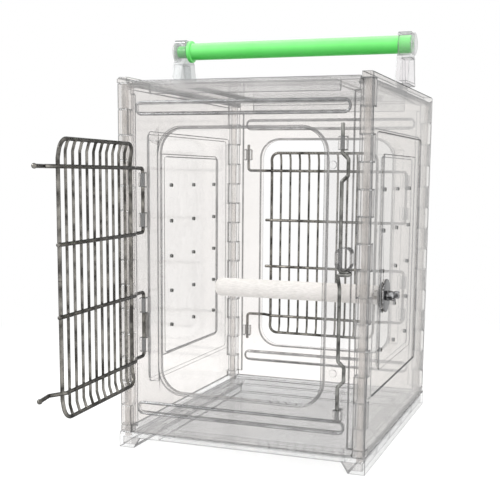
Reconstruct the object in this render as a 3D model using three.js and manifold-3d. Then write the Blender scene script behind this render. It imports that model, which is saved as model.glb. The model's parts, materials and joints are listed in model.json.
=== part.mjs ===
// Travel carrier for a small parrot. Four clear walls interlock in corner knuckles, which four
// rods lock together, between a clear base on skids and a clear roof. A welded wire door swings
// in the front and in the back wall. A bent wire bolt slides to lock the front door. A perch is
// bolted to the right wall, and a tube handle sits between two posts.
// Units are millimetres. Origin: centre of the footprint on the ground. +Z up, front is -Y.
import * as THREE from 'three';
import { mergeVertices } from 'three/addons/utils/BufferGeometryUtils.js';
import Module from 'manifold-3d';

// ---- driving dimensions ----
const BODY_HALF_X = 140;          // outer face of the side panels
const BODY_HALF_Y = 164;          // outer face of the front and back panels
const BODY_TOP = 405;             // top of the side rails
const WALL = 3;                   // moulded wall
const GAP = 0.3;                  // clearance between neighbouring pieces
const HALF_GAP = GAP / 2;
const BEVEL = 2;                  // chamfer on outer edges

const COLUMN = 13;                // square corner column made of knuckles
const KNUCKLE_PITCH = 27;
const KNUCKLE_START = 25;         // underside of the lowest knuckle
const KNUCKLE_FIRST_TOP = 47.5;   // top of the lowest, shorter knuckle
const KNUCKLE_COUNT = 14;
const ROD_RADIUS = 3;             // corner rod
const ROD_BORE = 3.8;

const BASE_HALF_X = 141;
const BASE_HALF_Y = 165;
const SKID_WIDTH = 18;
const SKID_HEIGHT = 11.5;
const SKID_FLARE = 8;             // ribs widen inwards by this much at the deck
const DECK_THICK = 3;
const BASE_RIM_TOP = 17.5;
const BASE_CORNER_TOP = 24.7;
const SKID_RIBS = 6;

const END_PANEL_TOP = 401;        // top edge of the front and back panels
const OPENING_HALF_X = 91.3;
const OPENING_BOTTOM = 66.9;
const OPENING_TOP = 350.5;
const OPENING_RADIUS = 25;
const OPENING_ARC = 8;            // straight pieces in a quarter of the opening's corner
const CUT_REACH = 20;             // how far the opening's cutter stands past the wall
const LIP_THICK = 2.6;
const LIP_DEPTH = 10;
const BEAD_HALF_X = 118;          // pill shaped stiffening bead
const BEAD_RADIUS = 7.25;
const BEAD_RAISE = 1.6;
const BEAD_WALL = 2.2;
const BEAD_HEIGHTS = [47.5, 372];
const BEAD_ARC = 4;
const EDGE_RIB_X = 120.4;         // inner edge of the thicker strip beside each column

const HINGE_X = -108.1;           // front door hinge axis, door closed along +X
const HINGE_Y = -167.5;
const BARREL_RADIUS = 4.6;
const BARREL_BORE = 2.35;
const BARREL_SPANS = [[111.5, 127], [154.5, 170.5], [247, 262], [289.5, 304.5]];
const STRIP = { x: 103.6, notch: 2.4, z0: 79, z1: 338, raise: 1 };

const WIRE = 1.9;                 // radius of the thick wire
const THIN_WIRE = 1.35;           // radius of the upright bars
const RING_NEAR = 38.8;           // hinge axis to the first upright of the door
const BAR_PITCH = 13.51;
const BAR_COUNT = 12;
const RING_TOP = 333.4;
const RING_BOTTOM = 83.6;
const RING_BEND = 10.4;           // bend radius of the ring's corners
const RING_SHOULDER = 17;         // ring's uprights lean inwards from this far below its end
const BAR_INSET = 3.5;            // bar plane, measured from the hinge plane into the cabin
const CROSS_INSET = 6.1;          // cross wire plane
const DISH = 3;                   // extra inset of the ring's top and bottom
const DISH_LENGTH = 10;
const CROSS_Z = [309.2, 241.1, 176.8, 106.9];
const TIP_REACH = 223.5;          // hinge axis to the free end of the long cross wires
const CROSS_LEAD = 3;             // straight run of a cross wire past the ring
const CRANK_START = 19;           // hinge arms reach the hinge plane this far before the ring
const CRANK_OUT = 3.4;            // long cross wires step out past the opening's edge
const CRANK_END = 11.8;           // ring to the outer end of that step
const CROSS_OVERHANG = 8;         // short cross wires end this far past the ring
const HAIRPIN_RADIUS = 4;
const BAR_BEND = 3;
const FRONT_DOOR_OPEN = 86.7;     // degrees open at rest
const LEG_TOP = 345;              // upturned leg of the back door's top wire
const LEG_BOTTOM = 71;

const BOLT_X = 112.2;             // sliding door bolt
const BOLT_Y = -172.4;
const BOLT_TOP = 355;
const BOLT_FOOT = 65;
const BOLT_BORE = 2.25;
const KINK = 6.3;
const KINKS = [[326, 320, 304, 298], [118.5, 112.5, 98, 92]];
const LOOP = { reach: 11, depth: 5.2, topZ: 208.4, bottomZ: 206.6, returnZ: 193, shift: -1 };
const BOLT_GUIDES = [[56, 68], [329, 342]];
const STOP_SPAN = [212, 233];
const STOP_LEFT = 4.6;            // stop block, either side of the bolt's axis
const STOP_RIGHT = 11.5;
const STOP_RADIUS = 5.5;
const BOSSES = [[104.9, 103.8], [100.6, 314.4]];
const BOSS_RADIUS = 3.8;
const BOSS_RAISE = 1.2;
const CLIP_SPANS = [[76, 90], [324, 338]];
const CLIP_HALF = 5;
const CLIP_RISE = 3.5;            // clip stands this far out past the leg's axis

const VENT_RADIUS = 2.3;
const VENT_Z = [119.5, 161.7, 204.2, 247, 290];
const VENT_Y = [-33.5, 32, 97.5];
const RECESS_OUTER = { y0: -97.5, y1: 145, z1: 351, r: 5 };
const RECESS_INNER = { y0: -60.5, y1: 108, z1: 326.6, r: 4 };
const RECESS_MARGIN = 25;         // between the two outlines, top and bottom
const RECESS_BOTTOM = { left: 60.5, right: 74 };
const RECESS_DEPTH = 1.4;
const SIDE_RAIL_BOTTOM = 398.6;
const SIDE_RAIL_INNER = 127.7;
const LEDGE_Z0 = 394;
const LEDGE_Z1 = 397;
const LEDGE_INNER = 121;
const ROOF_Z0 = 397.3;
const ROOF_Z1 = 400.3;
const ROOF_FLANGE_X = 105;
const ROOF_FLANGE_Z = 387;
const ROOF_RAISED = { x: 88, y: 111, raise: 3, wall: 2.6 };
const FLOOR_PAN = { x: 108, y: 126, floorZ: 3, bottomZ: 0, wall: 2.6 };

const HANDLE_Z = 450.5;
const POST_INNER = 129.3;
const POST_OUTER = 144;
const POST_BASE_HALF = 22;
const POST_NECK_HALF = 15;
const POST_NECK_Z = 437;
const POST_HEAD = { half: 13, top: 463.3, r: 4 };
const POST_WALL = 4;
const TONGUE = { x0: 130.6, x1: 136.4, halfY: 14, z0: 388 };
const GRIP_RADIUS = 10;
const GRIP_BORE = 5;
const GRIP_SPIGOT = 7.2;          // thin left end of the grip, inside its post
const GRIP_COLLAR = 13;
const GRIP_COLLAR_WIDTH = 4.2;
const CAP_RADIUS = 12.6;
const CAP_THICK = 4.4;
const CAP_RIM = 2.4;
const CAP_CROWN = 5;
const CAP_PEG = 14;
const CAP_EASE = 0.5;             // height lost over the cap's sloping rim

const PERCH_Y = -88;
const PERCH_Z = 177;
const PERCH_RADIUS = 10.3;
const PERCH_END = -55.5;
const PERCH_NOSE = 6;             // rounding of the free end
const STUD_RADIUS = 3;
const STUD_INNER = 108;
const STUD_OUTER = 155.5;
const WASHER_OUTER = 17.8;
const WASHER_INNER = 14;
const WASHER_THICK = 1.6;
const NUT_LENGTH = 7.5;
const NUT_RADIUS = 5.6;
const WING_SPAN = 12;
const WING_THICK = 2.6;
const WING_TILT = 17;             // degrees the wings stand off level
const WING_FOOT = 1.5;            // along the hub, where a wing starts
const WING_HEIGHT = 13;

// ---- materials ----
const clear = new THREE.MeshStandardMaterial({ color: 0xdfe4e6, roughness: 0.12, metalness: 0 });
const steel = new THREE.MeshStandardMaterial({ color: 0x9b9ea1, roughness: 0.25, metalness: 1 });
const green = new THREE.MeshStandardMaterial({ color: 0x35d94f, roughness: 0.35, metalness: 0 });
const white = new THREE.MeshStandardMaterial({ color: 0xf2efec, roughness: 0.6, metalness: 0 });

const wasm = await Module();
wasm.setup();

// ---- geometry to solid and back ----
function solid(geometry) {
  geometry.deleteAttribute('normal');
  geometry.deleteAttribute('uv');
  const merged = mergeVertices(geometry, 1e-4);
  return new wasm.Manifold(new wasm.Mesh({
    numProp: 3,
    vertProperties: new Float32Array(merged.attributes.position.array),
    triVerts: new Uint32Array(merged.index.array),
  }));
}

function geometryOf(body) {
  const data = body.getMesh();
  const geometry = new THREE.BufferGeometry();
  geometry.setAttribute('position', new THREE.BufferAttribute(data.vertProperties, 3));
  geometry.setIndex(new THREE.BufferAttribute(data.triVerts, 1));
  return geometry;
}

const join = (bodies) => bodies.reduce((whole, body) => whole.add(body));
const cut = (body, tools) => tools.reduce((rest, tool) => rest.subtract(tool), body);

// ---- basic solids ----
function box(x0, x1, y0, y1, z0, z1) {
  const geometry = new THREE.BoxGeometry(x1 - x0, y1 - y0, z1 - z0);
  geometry.translate((x0 + x1) / 2, (y0 + y1) / 2, (z0 + z1) / 2);
  return solid(geometry);
}

function prism(shape, depth, segments = 3) {
  return new THREE.ExtrudeGeometry(shape, { depth, bevelEnabled: false, curveSegments: segments });
}

// Shape drawn in X,Y and raised from z0 to z1.
function upright(shape, z0, z1, segments) {
  return solid(prism(shape, z1 - z0, segments).translate(0, 0, z0));
}

// Shape drawn in X,Z and made thick from y0 to y1.
function endWall(shape, y0, y1, segments) {
  return solid(prism(shape, y1 - y0, segments).rotateX(Math.PI / 2).translate(0, y1, 0));
}

// Shape drawn in Y,Z and made thick from x0 to x1.
const SIDE_FRAME = new THREE.Matrix4().makeBasis(
  new THREE.Vector3(0, 1, 0), new THREE.Vector3(0, 0, 1), new THREE.Vector3(1, 0, 0));
function sideWall(shape, x0, x1, segments) {
  return solid(prism(shape, x1 - x0, segments).applyMatrix4(SIDE_FRAME).translate(x0, 0, 0));
}

function roundRect(a0, a1, b0, b1, r) {
  const shape = new THREE.Shape();
  shape.moveTo(a0 + r, b0);
  shape.lineTo(a1 - r, b0);
  shape.absarc(a1 - r, b0 + r, r, -Math.PI / 2, 0, false);
  shape.lineTo(a1, b1 - r);
  shape.absarc(a1 - r, b1 - r, r, 0, Math.PI / 2, false);
  shape.lineTo(a0 + r, b1);
  shape.absarc(a0 + r, b1 - r, r, Math.PI / 2, Math.PI, false);
  shape.lineTo(a0, b0 + r);
  shape.absarc(a0 + r, b0 + r, r, Math.PI, Math.PI * 1.5, false);
  return shape;
}

function pill(halfX, z, r) {
  return roundRect(-halfX, halfX, z - r, z + r, r * 0.999);
}

function pinZ(x, y, r, z0, z1, sides = 12) {
  const geometry = new THREE.CylinderGeometry(r, r, z1 - z0, sides);
  return solid(geometry.rotateX(Math.PI / 2).translate(x, y, (z0 + z1) / 2));
}

function pinX(y, z, r, x0, x1, sides = 24) {
  const geometry = new THREE.CylinderGeometry(r, r, x1 - x0, sides);
  return solid(geometry.rotateZ(Math.PI / 2).translate((x0 + x1) / 2, y, z));
}

// ---- bent wire ----
class BentLine extends THREE.Curve {
  constructor(points) {
    super();
    this.points = points;
  }
  getPoint(t, target = new THREE.Vector3()) {
    const place = t * (this.points.length - 1);
    const index = Math.min(Math.floor(place + 1e-6), this.points.length - 2);
    return target.lerpVectors(this.points[index], this.points[index + 1], place - index);
  }
  getPointAt(u, target) {
    return this.getPoint(u, target);
  }
  getTangentAt(u, target = new THREE.Vector3()) {
    const index = Math.round(u * (this.points.length - 1));
    const before = this.points[Math.max(index - 1, 0)];
    const here = this.points[index];
    const after = this.points[Math.min(index + 1, this.points.length - 1)];
    const arriving = here.clone().sub(before).normalize();
    const leaving = after.clone().sub(here).normalize();
    return target.copy(arriving).add(leaving).normalize();
  }
}

// Corner points joined by straight runs and rounded bends.
function bend(corners, radius, segments = 3) {
  const points = [corners[0]];
  for (let i = 1; i < corners.length - 1; i += 1) {
    const back = corners[i - 1].clone().sub(corners[i]).normalize();
    const ahead = corners[i + 1].clone().sub(corners[i]).normalize();
    const turn = Math.PI - back.angleTo(ahead);
    const setback = radius * Math.tan(turn / 2);
    const centre = back.clone().add(ahead).normalize()
      .multiplyScalar(radius / Math.cos(turn / 2)).add(corners[i]);
    const from = back.clone().multiplyScalar(setback).add(corners[i]).sub(centre);
    const to = ahead.clone().multiplyScalar(setback).add(corners[i]).sub(centre);
    const count = Math.max(1, Math.round(segments * turn / (Math.PI / 2)));
    for (let k = 0; k <= count; k += 1) {
      const along = Math.sin(turn * k / count) / Math.sin(turn);
      const rest = Math.sin(turn * (1 - k / count)) / Math.sin(turn);
      points.push(from.clone().multiplyScalar(rest).addScaledVector(to, along).add(centre));
    }
  }
  points.push(corners[corners.length - 1]);
  return points;
}

function wire(corners, radius, bendRadius, sides = 6) {
  const points = bend(corners, bendRadius);
  const section = new THREE.Shape();
  for (let i = 0; i < sides; i += 1) {
    const angle = (i + 0.5) * 2 * Math.PI / sides;
    const method = i === 0 ? 'moveTo' : 'lineTo';
    section[method](radius * Math.cos(angle), radius * Math.sin(angle));
  }
  return solid(new THREE.ExtrudeGeometry(section, {
    extrudePath: new BentLine(points),
    steps: points.length - 1,
    bevelEnabled: false,
  }));
}

// ---- corner knuckles ----
function knuckleSpan(index) {
  const top = KNUCKLE_FIRST_TOP + KNUCKLE_PITCH * index;
  const bottom = index === 0 ? KNUCKLE_START : top - KNUCKLE_PITCH;
  return [bottom + HALF_GAP, top - HALF_GAP];
}

// Column section in plan at the corner given by the two signs, chamfered on its outer edge.
function knuckleShape(signX, signY, innerX, innerY) {
  const shape = new THREE.Shape();
  shape.moveTo(signX * innerX, signY * innerY);
  shape.lineTo(signX * innerX, signY * BODY_HALF_Y);
  shape.lineTo(signX * (BODY_HALF_X - BEVEL), signY * BODY_HALF_Y);
  shape.lineTo(signX * BODY_HALF_X, signY * (BODY_HALF_Y - BEVEL));
  shape.lineTo(signX * BODY_HALF_X, signY * innerY);
  return shape;
}

const COLUMN_X = BODY_HALF_X - COLUMN;
const COLUMN_Y = BODY_HALF_Y - COLUMN;
const ROD_X = BODY_HALF_X - COLUMN / 2;
const ROD_Y = BODY_HALF_Y - COLUMN / 2;

// ---- front and back panels, drawn as the front one ----
function endPanel(fittings) {
  const sheet = new THREE.Shape();
  const bottom = BASE_RIM_TOP + GAP;
  const shoulder = KNUCKLE_START + HALF_GAP;
  sheet.moveTo(-COLUMN_X, shoulder);
  sheet.lineTo(-COLUMN_X + GAP, shoulder);
  sheet.lineTo(-COLUMN_X + GAP, bottom);
  sheet.lineTo(COLUMN_X - GAP, bottom);
  sheet.lineTo(COLUMN_X - GAP, shoulder);
  sheet.lineTo(COLUMN_X, shoulder);
  sheet.lineTo(COLUMN_X, END_PANEL_TOP);
  sheet.lineTo(-COLUMN_X, END_PANEL_TOP);
  const face = -BODY_HALF_Y;
  const parts = [endWall(sheet, face, face + WALL)];
  const grown = roundRect(-OPENING_HALF_X - LIP_THICK, OPENING_HALF_X + LIP_THICK,
    OPENING_BOTTOM - LIP_THICK, OPENING_TOP + LIP_THICK, OPENING_RADIUS + LIP_THICK);
  parts.push(endWall(grown, face, face + LIP_DEPTH, OPENING_ARC));
  for (const z of BEAD_HEIGHTS) {
    parts.push(endWall(pill(BEAD_HALF_X, z, BEAD_RADIUS), face - BEAD_RAISE, face + 1, BEAD_ARC));
  }
  for (const side of [-1, 1]) {
    const x0 = side < 0 ? -COLUMN_X : EDGE_RIB_X;
    const x1 = side < 0 ? -EDGE_RIB_X : COLUMN_X;
    parts.push(box(x0, x1, face, face + WALL * 2, shoulder, ROOF_FLANGE_Z));
    for (let i = 1; i < KNUCKLE_COUNT; i += 2) {
      const [z0, z1] = knuckleSpan(i);
      parts.push(upright(knuckleShape(side, -1, COLUMN_X - 1, COLUMN_Y + GAP), z0, z1));
    }
  }
  parts.push(...fittings.solids);
  const opening = roundRect(-OPENING_HALF_X, OPENING_HALF_X, OPENING_BOTTOM, OPENING_TOP,
    OPENING_RADIUS);
  const tools = [endWall(opening, face - CUT_REACH, face + CUT_REACH, OPENING_ARC)];
  for (const z of BEAD_HEIGHTS) {
    const hollow = pill(BEAD_HALF_X - BEAD_WALL, z, BEAD_RADIUS - BEAD_WALL);
    tools.push(endWall(hollow, face + WALL - BEAD_RAISE, face + WALL * 2, BEAD_ARC));
  }
  for (const side of [-1, 1]) {
    tools.push(pinZ(side * ROD_X, -ROD_Y, ROD_BORE, 0, BODY_TOP, 6));
    for (let i = 0; i < KNUCKLE_COUNT; i += 2) {
      const [z0, z1] = knuckleSpan(i);
      const x0 = side < 0 ? -BODY_HALF_X : COLUMN_X;
      tools.push(box(x0, x0 + COLUMN, -BODY_HALF_Y - 1, -COLUMN_Y, z0 - GAP, z1 + GAP));
    }
  }
  return cut(join(parts), [...tools, ...fittings.tools]);
}

// Raised strip between the barrels and the opening, notched back beside each barrel.
function hingeStrip() {
  const face = -BODY_HALF_Y;
  const raised = box(-STRIP.x, -OPENING_HALF_X, face - STRIP.raise, face + 1, STRIP.z0, STRIP.z1);
  return cut(raised, BARREL_SPANS.map(([z0, z1]) => box(
    -STRIP.x - HALF_GAP, -STRIP.x + STRIP.notch + HALF_GAP,
    face - STRIP.raise * 2, face, z0 - 1, z1 + 1)));
}

function hingeBarrels() {
  const solids = [hingeStrip()];
  const tools = [];
  for (const [z0, z1] of BARREL_SPANS) {
    solids.push(pinZ(HINGE_X, HINGE_Y, BARREL_RADIUS, z0, z1, 10));
    tools.push(pinZ(HINGE_X, HINGE_Y, BARREL_BORE, z0 - 1, z1 + 1, 8));
  }
  return { solids, tools };
}

// Guides of the sliding bolt: two short eyes and a thick block that stops the finger loop.
function boltGuides() {
  const face = -BODY_HALF_Y;
  const solids = [];
  for (const [z0, z1] of BOLT_GUIDES) {
    solids.push(pinZ(BOLT_X, BOLT_Y, BARREL_RADIUS, z0, z1, 10));
    solids.push(box(BOLT_X - WALL, BOLT_X + WALL, BOLT_Y + WALL, face + 1, z0, z1));
  }
  const block = roundRect(BOLT_X - STOP_LEFT, BOLT_X + STOP_RIGHT, STOP_SPAN[0], STOP_SPAN[1],
    STOP_RADIUS);
  solids.push(endWall(block, BOLT_Y - BARREL_RADIUS, face + 1, 3));
  for (const [x, z] of BOSSES) {
    const boss = roundRect(x - BOSS_RADIUS, x + BOSS_RADIUS, z - BOSS_RADIUS, z + BOSS_RADIUS,
      BOSS_RADIUS * 0.98);
    solids.push(endWall(boss, face - BOSS_RAISE, face + 1, 3));
  }
  return { solids, tools: [pinZ(BOLT_X, BOLT_Y, BOLT_BORE, 0, BODY_TOP, 8)] };
}

// Outward-open snap clips that hold the back door's upright legs.
function legClips() {
  const x = HINGE_X + TIP_REACH;
  const solids = [];
  const tools = [];
  for (const [z0, z1] of CLIP_SPANS) {
    solids.push(box(x - CLIP_HALF, x + CLIP_HALF, HINGE_Y - CLIP_RISE, 1 - BODY_HALF_Y, z0, z1));
    tools.push(box(x - WIRE - GAP, x + WIRE + GAP, HINGE_Y - CLIP_RISE - 1, -BODY_HALF_Y,
      z0 - 1, z1 + 1));
  }
  return { solids, tools };
}

function both(first, second) {
  return {
    solids: [...first.solids, ...second.solids],
    tools: [...first.tools, ...second.tools],
  };
}

// ---- side panels, drawn as the left one (outer face at -X) ----
function recessShape(recess, inset) {
  return roundRect(recess.y0 + inset, recess.y1 - inset, recess.z0 + inset, recess.z1 - inset,
    recess.r);
}

function sidePanel(recessBottom) {
  const face = -BODY_HALF_X;
  const outerRecess = { ...RECESS_OUTER, z0: recessBottom };
  const innerRecess = { ...RECESS_INNER, z0: recessBottom + RECESS_MARGIN };
  const bottom = BASE_RIM_TOP + GAP;
  const shoulder = KNUCKLE_START + HALF_GAP;
  const edge = COLUMN_Y - GAP;
  const sheet = new THREE.Shape();
  sheet.moveTo(-edge, bottom);
  sheet.lineTo(edge, bottom);
  sheet.lineTo(edge, BODY_TOP - BEVEL * 2);
  sheet.lineTo(-edge, BODY_TOP - BEVEL * 2);
  const rail = new THREE.Shape();
  rail.moveTo(face, SIDE_RAIL_BOTTOM);
  rail.lineTo(-SIDE_RAIL_INNER, SIDE_RAIL_BOTTOM);
  rail.lineTo(-SIDE_RAIL_INNER, BODY_TOP);
  rail.lineTo(face + BEVEL, BODY_TOP);
  rail.lineTo(face, BODY_TOP - BEVEL);
  const parts = [
    sideWall(sheet, face, face + WALL),
    endWall(rail, -BODY_HALF_Y, BODY_HALF_Y),
    box(face + 1, -LEDGE_INNER, -edge, edge, LEDGE_Z0, LEDGE_Z1),
    sideWall(recessShape(outerRecess, 0), face + 1, face + WALL + RECESS_DEPTH, 2),
  ];
  const groove = recessShape(outerRecess, WALL);
  groove.holes.push(recessShape(innerRecess, 0));
  const tools = [
    sideWall(groove, face - 1, face + RECESS_DEPTH, 2),
    sideWall(recessShape(innerRecess, WALL), face + WALL, face + WALL * 3, 2),
    box(-TONGUE.x1 - GAP, -TONGUE.x0 + GAP, -TONGUE.halfY - GAP, TONGUE.halfY + GAP,
      TONGUE.z0, BODY_TOP + 1),
  ];
  for (const end of [-1, 1]) {
    tools.push(pinZ(-ROD_X, end * ROD_Y, ROD_BORE, 0, SIDE_RAIL_BOTTOM, 6));
    for (let i = 0; i < KNUCKLE_COUNT; i += 2) {
      const [z0, z1] = knuckleSpan(i);
      const top = i === KNUCKLE_COUNT - 1 ? SIDE_RAIL_BOTTOM + 1 : z1;
      parts.push(upright(knuckleShape(-1, end, COLUMN_X + GAP, edge - 1), z0, top));
    }
  }
  for (const y of VENT_Y) {
    for (const z of VENT_Z) {
      tools.push(pinX(y, z, VENT_RADIUS, face - 1, face + WALL * 2, 7));
    }
  }
  return cut(join(parts), tools);
}

// ---- base ----
function base() {
  const deckTop = SKID_HEIGHT + DECK_THICK;
  const parts = [box(-BASE_HALF_X, BASE_HALF_X, -BASE_HALF_Y, BASE_HALF_Y, SKID_HEIGHT, deckTop)];
  const pan = (grow, z0, z1) => box(-FLOOR_PAN.x - grow, FLOOR_PAN.x + grow,
    -FLOOR_PAN.y - grow, FLOOR_PAN.y + grow, z0, z1);
  parts.push(pan(FLOOR_PAN.wall, FLOOR_PAN.bottomZ, deckTop));
  const rim = roundRect(-BASE_HALF_X, BASE_HALF_X, -BASE_HALF_Y, BASE_HALF_Y, BEVEL);
  rim.holes.push(roundRect(-COLUMN_X, COLUMN_X, -COLUMN_Y, COLUMN_Y, BEVEL));
  parts.push(upright(rim, SKID_HEIGHT, BASE_RIM_TOP, 1));
  for (const side of [-1, 1]) {
    const outer = side * BASE_HALF_X;
    const web = side * (BASE_HALF_X - WALL);
    const inner = side * (BASE_HALF_X - SKID_WIDTH);
    const span = (a, b) => [Math.min(a, b), Math.max(a, b)];
    parts.push(box(...span(outer, inner), -BASE_HALF_Y, BASE_HALF_Y, 0, WALL));
    parts.push(box(...span(outer, web), -BASE_HALF_Y, BASE_HALF_Y, 0, SKID_HEIGHT + 1));
    const rib = new THREE.Shape();
    rib.moveTo(outer, 0);
    rib.lineTo(inner, 0);
    rib.lineTo(inner - side * SKID_FLARE, SKID_HEIGHT + 1);
    rib.lineTo(outer, SKID_HEIGHT + 1);
    for (let i = 0; i < SKID_RIBS; i += 1) {
      const y = -BASE_HALF_Y + (2 * BASE_HALF_Y - WALL) * i / (SKID_RIBS - 1);
      parts.push(endWall(rib, y, y + WALL));
    }
    for (const end of [-1, 1]) {
      const post = knuckleShape(side, end, COLUMN_X, COLUMN_Y);
      parts.push(upright(post, SKID_HEIGHT, BASE_CORNER_TOP));
    }
  }
  const tools = [pan(0, FLOOR_PAN.floorZ, deckTop + 1)];
  for (const side of [-1, 1]) {
    for (const end of [-1, 1]) {
      tools.push(pinZ(side * ROD_X, end * ROD_Y, ROD_BORE, SKID_HEIGHT - 1, BODY_TOP, 6));
    }
  }
  return cut(join(parts), tools);
}

// ---- roof ----
function roof() {
  const halfX = COLUMN_X - 1 - GAP;
  const halfY = BODY_HALF_Y - WALL * 2 - GAP;
  const parts = [box(-halfX, halfX, -halfY, halfY, ROOF_Z0, ROOF_Z1)];
  for (const end of [-1, 1]) {
    const y = end < 0 ? -halfY : halfY - WALL;
    parts.push(box(-ROOF_FLANGE_X, ROOF_FLANGE_X, y, y + WALL, ROOF_FLANGE_Z, ROOF_Z0 + 1));
  }
  const raised = (shrink, z0, z1) => box(-ROOF_RAISED.x + shrink, ROOF_RAISED.x - shrink,
    -ROOF_RAISED.y + shrink, ROOF_RAISED.y - shrink, z0, z1);
  parts.push(raised(0, ROOF_Z0, ROOF_Z1 + ROOF_RAISED.raise));
  return join(parts).subtract(raised(ROOF_RAISED.wall, ROOF_Z0 - 1, ROOF_Z1));
}

// ---- handle, its posts drawn as the right one ----
function post(boreRadius) {
  const side = new THREE.Shape();
  side.moveTo(-POST_BASE_HALF, BODY_TOP + GAP);
  side.lineTo(POST_BASE_HALF, BODY_TOP + GAP);
  side.lineTo(POST_NECK_HALF, POST_NECK_Z);
  side.lineTo(POST_HEAD.half, POST_NECK_Z + 1);
  side.lineTo(POST_HEAD.half, POST_HEAD.top - POST_HEAD.r);
  side.absarc(POST_HEAD.half - POST_HEAD.r, POST_HEAD.top - POST_HEAD.r, POST_HEAD.r,
    0, Math.PI / 2, false);
  side.absarc(-POST_HEAD.half + POST_HEAD.r, POST_HEAD.top - POST_HEAD.r, POST_HEAD.r,
    Math.PI / 2, Math.PI, false);
  side.lineTo(-POST_HEAD.half, POST_NECK_Z + 1);
  side.lineTo(-POST_NECK_HALF, POST_NECK_Z);
  const pocketTop = POST_NECK_Z - POST_WALL / 2;
  const pocket = new THREE.Shape();
  pocket.moveTo(-POST_BASE_HALF + POST_WALL, BODY_TOP + POST_WALL);
  pocket.lineTo(POST_BASE_HALF - POST_WALL, BODY_TOP + POST_WALL);
  pocket.lineTo(POST_NECK_HALF - POST_WALL, pocketTop);
  pocket.lineTo(-POST_NECK_HALF + POST_WALL, pocketTop);
  const tongue = box(TONGUE.x0, TONGUE.x1, -TONGUE.halfY, TONGUE.halfY, LEDGE_Z1 + 1, BODY_TOP + 1);
  return cut(sideWall(side, POST_INNER, POST_OUTER, 3).add(tongue), [
    sideWall(pocket, POST_INNER + POST_WALL, POST_OUTER + 1),
    pinX(0, HANDLE_Z, boreRadius, 0, POST_OUTER + 1, 24),
  ]);
}

// Domed cap on the outside of a post, with a peg in the end of the grip's bore.
function cap() {
  const face = POST_OUTER + GAP;
  const profile = [[0, 0], [CAP_RADIUS, 0], [CAP_RADIUS, CAP_RIM],
    [(CAP_RADIUS + CAP_CROWN) / 2, CAP_THICK - CAP_EASE], [CAP_CROWN, CAP_THICK], [0, CAP_THICK]];
  const head = new THREE.LatheGeometry(profile.map(([r, h]) => new THREE.Vector2(r, h)), 24);
  head.rotateZ(-Math.PI / 2).translate(face, 0, HANDLE_Z);
  return solid(head).add(pinX(0, HANDLE_Z, GRIP_BORE - GAP, face - CAP_PEG, face + 1, 14));
}

function grip() {
  const end = POST_OUTER - GAP;
  const shoulder = -POST_INNER + GAP;
  const parts = [
    pinX(0, HANDLE_Z, GRIP_RADIUS, shoulder, end, 28),
    pinX(0, HANDLE_Z, GRIP_COLLAR, shoulder, shoulder + GRIP_COLLAR_WIDTH, 28),
    pinX(0, HANDLE_Z, GRIP_SPIGOT, -end, shoulder + 1, 20),
  ];
  return join(parts).subtract(pinX(0, HANDLE_Z, GRIP_BORE, -end - 1, end + 1, 14));
}

// ---- doors, drawn closed in the front opening ----
// s runs from the hinge axis along the closed door, inset runs into the cabin.
const at = (s, inset, z) => new THREE.Vector3(HINGE_X + s, HINGE_Y + inset, z);

function ringHalf(sign) {
  const middle = (RING_TOP + RING_BOTTOM) / 2 - sign;
  const end = sign > 0 ? RING_TOP : RING_BOTTOM;
  const dish = BAR_INSET + DISH;
  const far = RING_NEAR + BAR_PITCH * (BAR_COUNT - 1);
  const shoulder = end - sign * RING_SHOULDER;
  const points = [
    at(RING_NEAR, BAR_INSET, middle),
    at(RING_NEAR, BAR_INSET, shoulder),
    at(RING_NEAR, dish, end),
    at(far, dish, end),
    at(far, BAR_INSET, shoulder),
    at(far, BAR_INSET, middle),
  ];
  return wire(points, WIRE, RING_BEND);
}

function bar(index) {
  const s = RING_NEAR + BAR_PITCH * index;
  const points = [
    at(s, BAR_INSET + DISH, RING_BOTTOM),
    at(s, BAR_INSET, RING_BOTTOM + DISH_LENGTH),
    at(s, BAR_INSET, RING_TOP - DISH_LENGTH),
    at(s, BAR_INSET + DISH, RING_TOP),
  ];
  return wire(points, THIN_WIRE, BAR_BEND, 5);
}

// One bent wire: a long cross wire, the upright hinge length and a short cross wire.
function crossLoop(longZ, shortZ, ending) {
  const ringFar = RING_NEAR + BAR_PITCH * (BAR_COUNT - 1);
  const points = [
    ...ending,
    at(ringFar + CRANK_END, -CRANK_OUT, longZ),
    at(ringFar - CROSS_LEAD, CROSS_INSET, longZ),
    at(RING_NEAR - CROSS_LEAD, CROSS_INSET, longZ),
    at(RING_NEAR - CRANK_START, 0, longZ),
    at(0, 0, longZ),
    at(0, 0, shortZ),
    at(RING_NEAR - CRANK_START, 0, shortZ),
    at(RING_NEAR - CROSS_LEAD, CROSS_INSET, shortZ),
    at(ringFar + CROSS_OVERHANG, CROSS_INSET, shortZ),
  ];
  return wire(points, WIRE, HAIRPIN_RADIUS);
}

function door(endings) {
  const bodies = [ringHalf(1), ringHalf(-1)];
  for (let i = 1; i < BAR_COUNT - 1; i += 1) {
    bodies.push(bar(i));
  }
  bodies.push(crossLoop(CROSS_Z[0], CROSS_Z[1], endings[0]));
  bodies.push(crossLoop(CROSS_Z[3], CROSS_Z[2], endings[1]));
  return join(bodies);
}

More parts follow.
